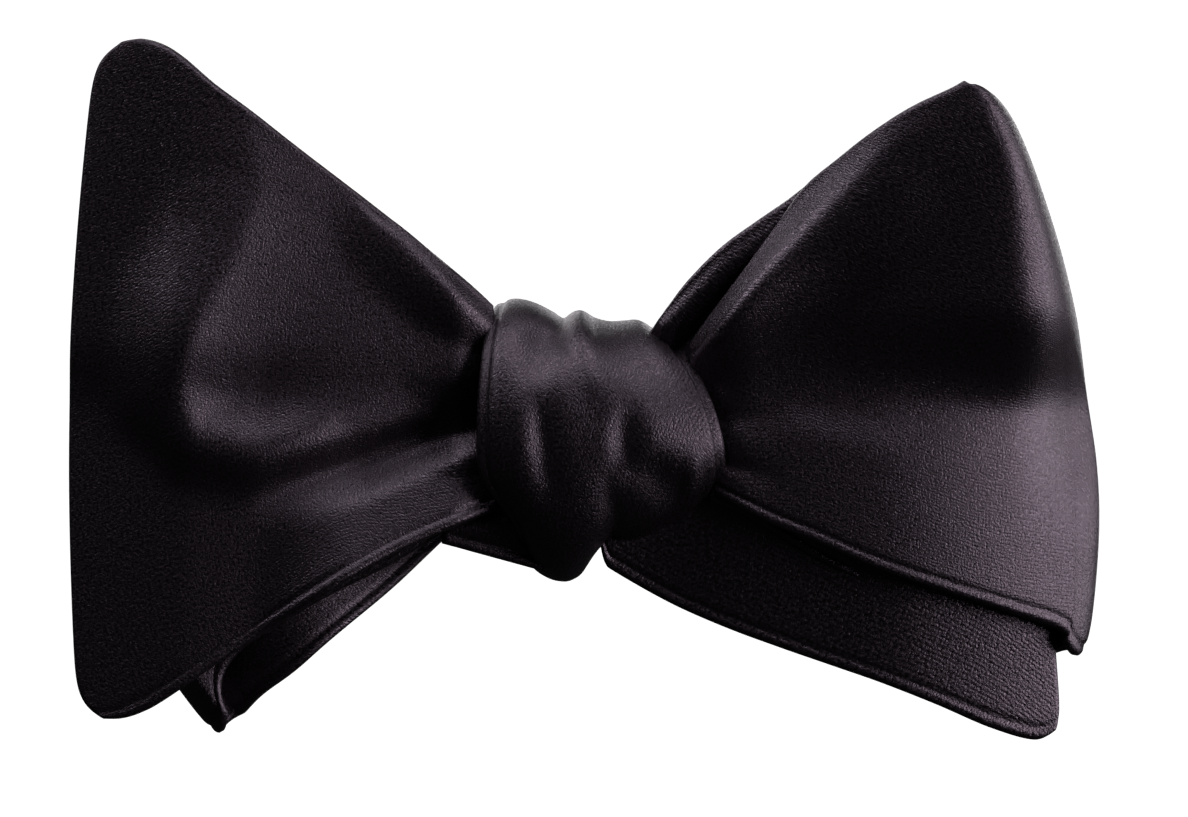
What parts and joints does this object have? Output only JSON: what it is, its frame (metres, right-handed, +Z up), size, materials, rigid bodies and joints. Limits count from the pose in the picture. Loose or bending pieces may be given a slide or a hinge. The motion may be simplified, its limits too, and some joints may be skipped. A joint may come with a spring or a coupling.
{
  "type": "bow tie",
  "caption": "Self-tied butterfly bow tie in black satin, with an adjustable neckband that closes at the back with a hook and eye.",
  "frame": {"origin": "centre of the closed neckband, on its vertical axis, at the band's mid height", "axes": "+Z up along the neck; the bow faces -Y; +X is to the right of someone who looks at the bow; the hook and eye are at +Y"},
  "size_m": [0.1295, 0.155, 0.0801],
  "materials": {
    "satin": "black twill-weave silk satin, soft broad sheen",
    "interlining": "plain-woven wool and cotton interlining, matt",
    "metal": "nickel-plated stamped steel and wire",
    "thread": "black polyester sewing thread"
  },
  "bodies": {
    "neckband": {"adjuster_tail": "satin", "hook": "metal", "hook_fold": "satin", "knot_core": "satin", "left_strap_inner": "satin", "left_strap_interlining": "interlining", "left_strap_outer": "satin", "right_front_strap_inner": "satin", "right_front_strap_interlining": "interlining", "right_front_strap_outer": "satin"},
    "bow": {"back_waist": "satin", "front_waist": "satin", "knot_wrap": "satin", "knot_wrap_interlining": "interlining", "left_end_back": "satin", "left_end_face": "satin", "left_end_interlining": "interlining", "left_loop_back": "satin", "left_loop_face": "satin", "left_loop_interlining": "interlining", "right_end_back": "satin", "right_end_face": "satin", "right_end_interlining": "interlining", "right_loop_back": "satin", "right_loop_face": "satin", "right_loop_interlining": "interlining", "wrap_return": "satin"},
    "right_strap": {"right_strap_inner": "satin", "right_strap_interlining": "interlining", "right_strap_outer": "satin", "eye_fold": "satin", "eye_return": "satin", "eye": "metal", "eye_bartack": "thread"},
    "slider": {"slider": "metal", "tail_loop": "satin"}
  },
  "joints": [
    {"name": "bow_tilt", "type": "hinge", "parent": "neckband", "child": "bow", "pos_m": [0, -0.071, 0], "axis": [1, 0, 0], "range_deg": [-12, 12]},
    {"name": "slider_travel", "type": "hinge", "parent": "neckband", "child": "slider", "pos_m": [0, 0, 0], "axis": [0, 0, 1], "range_deg": [-30, 30]},
    {"name": "strap_unhook", "type": "hinge", "parent": "neckband", "child": "right_strap", "pos_m": [0.04356, -0.0451, 0], "axis": [0, 0, 1], "range_deg": [0, 10]}
  ]
}
